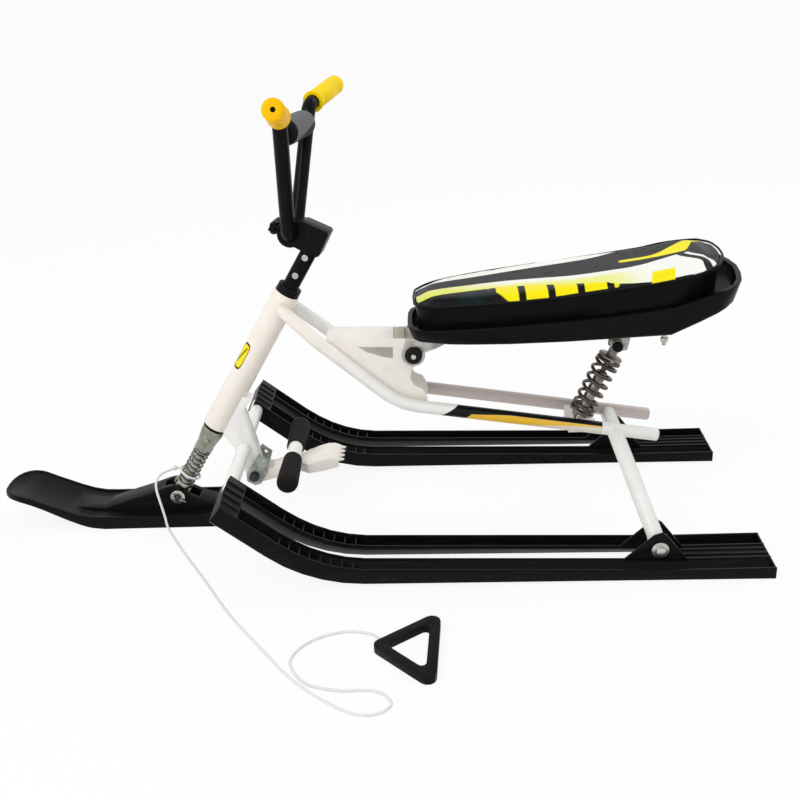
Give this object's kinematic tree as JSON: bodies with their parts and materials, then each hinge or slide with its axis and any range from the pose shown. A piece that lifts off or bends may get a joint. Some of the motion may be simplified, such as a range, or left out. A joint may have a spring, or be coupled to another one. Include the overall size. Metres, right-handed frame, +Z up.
{
  "type": "steering sled",
  "caption": "Snow scooter: upturned side skis on a bent tube frame, a sprung padded seat, a steered and sprung front ski, a foot brake with pegs, and a tow cord with a handle",
  "frame": {"origin": "on the ground, under the middle of the sled without its tow cord", "axes": "+X to the rear, -X to the front, +Y to the rider's right, +Z up"},
  "size_m": [1.2, 0.7768, 0.6998],
  "materials": {
    "side_ski_left": "moulded black plastic",
    "side_ski_right": "moulded black plastic",
    "head_tube": "gloss white powder coat",
    "main_tube_left": "gloss white powder coat",
    "main_tube_right": "gloss white powder coat",
    "front_cross_tube": "gloss white powder coat",
    "tube_plug_left": "moulded black plastic",
    "tube_plug_right": "moulded black plastic",
    "rear_arch": "gloss white powder coat",
    "ski_bolt_left": "zinc plated",
    "ski_bolt_right": "zinc plated",
    "front_strut": "gloss white powder coat",
    "seat_bracket": "gloss white powder coat",
    "bracket_stop_block": "beige plastic block",
    "shock_cross_plate": "gloss white powder coat",
    "shock_bolt_lower": "zinc plated",
    "upper_bush": "moulded black plastic",
    "lower_bush": "moulded black plastic",
    "brake_pivot_bolt": "blackened steel",
    "seat_pivot_bolt": "zinc plated",
    "seat_bush_left": "matt black rubber",
    "seat_bush_right": "matt black rubber",
    "tow_cord": "braided white cord",
    "tow_knot": "braided white cord",
    "tow_handle": "moulded black plastic",
    "steering_column": "gloss black paint",
    "column_bolt_lower": "zinc plated",
    "column_bolt_upper": "zinc plated",
    "fork_crown": "zinc plated",
    "crown_rivet": "zinc plated",
    "stem": "gloss black paint",
    "clamp_bolt_left": "blackened steel",
    "clamp_bolt_right": "blackened steel",
    "handlebar": "gloss black paint",
    "crossbar_pad": "grey foam sleeve",
    "grip_left": "yellow rubber",
    "grip_right": "yellow rubber",
    "front_spring": "zinc plated",
    "fork_slider": "zinc plated",
    "front_ski_bolt": "zinc plated",
    "front_ski_washer": "zinc plated",
    "front_split_pin": "zinc plated",
    "fork_leaf": "yellow zinc plate",
    "front_ski": "moulded black plastic",
    "brake_claw": "gloss white powder coat",
    "foot_tube": "gloss white powder coat",
    "foot_peg_left": "matt black rubber",
    "foot_peg_right": "matt black rubber",
    "brake_side_plate_left": "dull zinc plate",
    "brake_side_plate_right": "dull zinc plate",
    "seat_tray": "moulded black plastic",
    "seat_cushion": "printed vinyl over foam",
    "seat_rail": "grey paint",
    "tray_bolt": "zinc plated",
    "shock_bolt_upper": "blackened steel",
    "shock_body": "grey metallic paint",
    "shock_spring": "bright spring steel",
    "shock_rod": "grey metallic paint",
    "shock_top_bush": "matt black rubber"
  },
  "bodies": {
    "frame": {"side_ski_left": "side_ski_left", "side_ski_right": "side_ski_right", "head_tube": "head_tube", "main_tube_left": "main_tube_left", "main_tube_right": "main_tube_right", "front_cross_tube": "front_cross_tube", "tube_plug_left": "tube_plug_left", "tube_plug_right": "tube_plug_right", "rear_arch": "rear_arch", "ski_bolt_left": "ski_bolt_left", "ski_bolt_right": "ski_bolt_right", "front_strut": "front_strut", "seat_bracket": "seat_bracket", "bracket_stop_block": "bracket_stop_block", "shock_cross_plate": "shock_cross_plate", "shock_bolt_lower": "shock_bolt_lower", "upper_bush": "upper_bush", "lower_bush": "lower_bush", "brake_pivot_bolt": "brake_pivot_bolt", "seat_pivot_bolt": "seat_pivot_bolt", "seat_bush_left": "seat_bush_left", "seat_bush_right": "seat_bush_right", "tow_cord": "tow_cord", "tow_knot": "tow_knot", "tow_handle": "tow_handle"},
    "steering": {"steering_column": "steering_column", "column_bolt_lower": "column_bolt_lower", "column_bolt_upper": "column_bolt_upper", "fork_crown": "fork_crown", "crown_rivet": "crown_rivet", "stem": "stem", "clamp_bolt_left": "clamp_bolt_left", "clamp_bolt_right": "clamp_bolt_right", "handlebar": "handlebar", "crossbar_pad": "crossbar_pad", "grip_left": "grip_left", "grip_right": "grip_right", "front_spring": "front_spring"},
    "fork": {"fork_slider": "fork_slider", "front_ski_bolt": "front_ski_bolt", "front_ski_washer": "front_ski_washer", "front_split_pin": "front_split_pin", "fork_leaf": "fork_leaf"},
    "front_ski": {"front_ski": "front_ski"},
    "brake": {"brake_claw": "brake_claw", "foot_tube": "foot_tube", "foot_peg_left": "foot_peg_left", "foot_peg_right": "foot_peg_right", "brake_side_plate_left": "brake_side_plate_left", "brake_side_plate_right": "brake_side_plate_right"},
    "seat": {"seat_tray": "seat_tray", "seat_cushion": "seat_cushion", "seat_rail": "seat_rail", "tray_bolt": "tray_bolt", "shock_bolt_upper": "shock_bolt_upper"},
    "shock_lower": {"shock_body": "shock_body", "shock_spring": "shock_spring"},
    "shock_upper": {"shock_rod": "shock_rod", "shock_top_bush": "shock_top_bush"}
  },
  "joints": [
    {"name": "steering_turn", "type": "hinge", "parent": "frame", "child": "steering", "pos_m": [-0.11147, 0, 0.37933], "axis": [0.5165, 0, 0.8563], "range_deg": [-22, 22]},
    {"name": "front_suspension", "type": "slide", "parent": "steering", "child": "fork", "axis": [0.5165, 0, 0.8563], "range_m": [-0.006, 0.014], "stiffness_N_per_m": 9000, "springref_m": -0.001, "deforming": ["front_spring"]},
    {"name": "front_ski_pitch", "type": "hinge", "parent": "fork", "child": "front_ski", "pos_m": [-0.3155, 0, 0.0411], "axis": [0, 1, 0], "range_deg": [-8, 8]},
    {"name": "foot_brake", "type": "hinge", "parent": "frame", "child": "brake", "pos_m": [-0.1861, 0, 0.0744], "axis": [0, 1, 0], "range_deg": [0, 38], "stiffness_Nm_per_rad": 2, "springref_deg": -28.65},
    {"name": "seat_bounce", "type": "hinge", "parent": "frame", "child": "seat", "pos_m": [0.0805, 0, 0.2832], "axis": [0, 1, 0], "range_deg": [0, 5], "stiffness_Nm_per_rad": 300, "springref_deg": -2.29},
    {"name": "shock_swing", "type": "hinge", "parent": "frame", "child": "shock_lower", "pos_m": [0.3425, 0, 0.16], "axis": [0, 1, 0], "range_deg": [0, 5.6]},
    {"name": "shock_compress", "type": "slide", "parent": "shock_lower", "child": "shock_upper", "axis": [-0.4207, 0, -0.9072], "range_m": [0, 0.0254], "deforming": ["shock_spring"]}
  ],
  "couplings": [
    {"joint": "shock_swing", "follows": "seat_bounce", "ratio": 1.105},
    {"joint": "shock_compress", "follows": "seat_bounce", "m_per_rad": 0.28917}
  ]
}
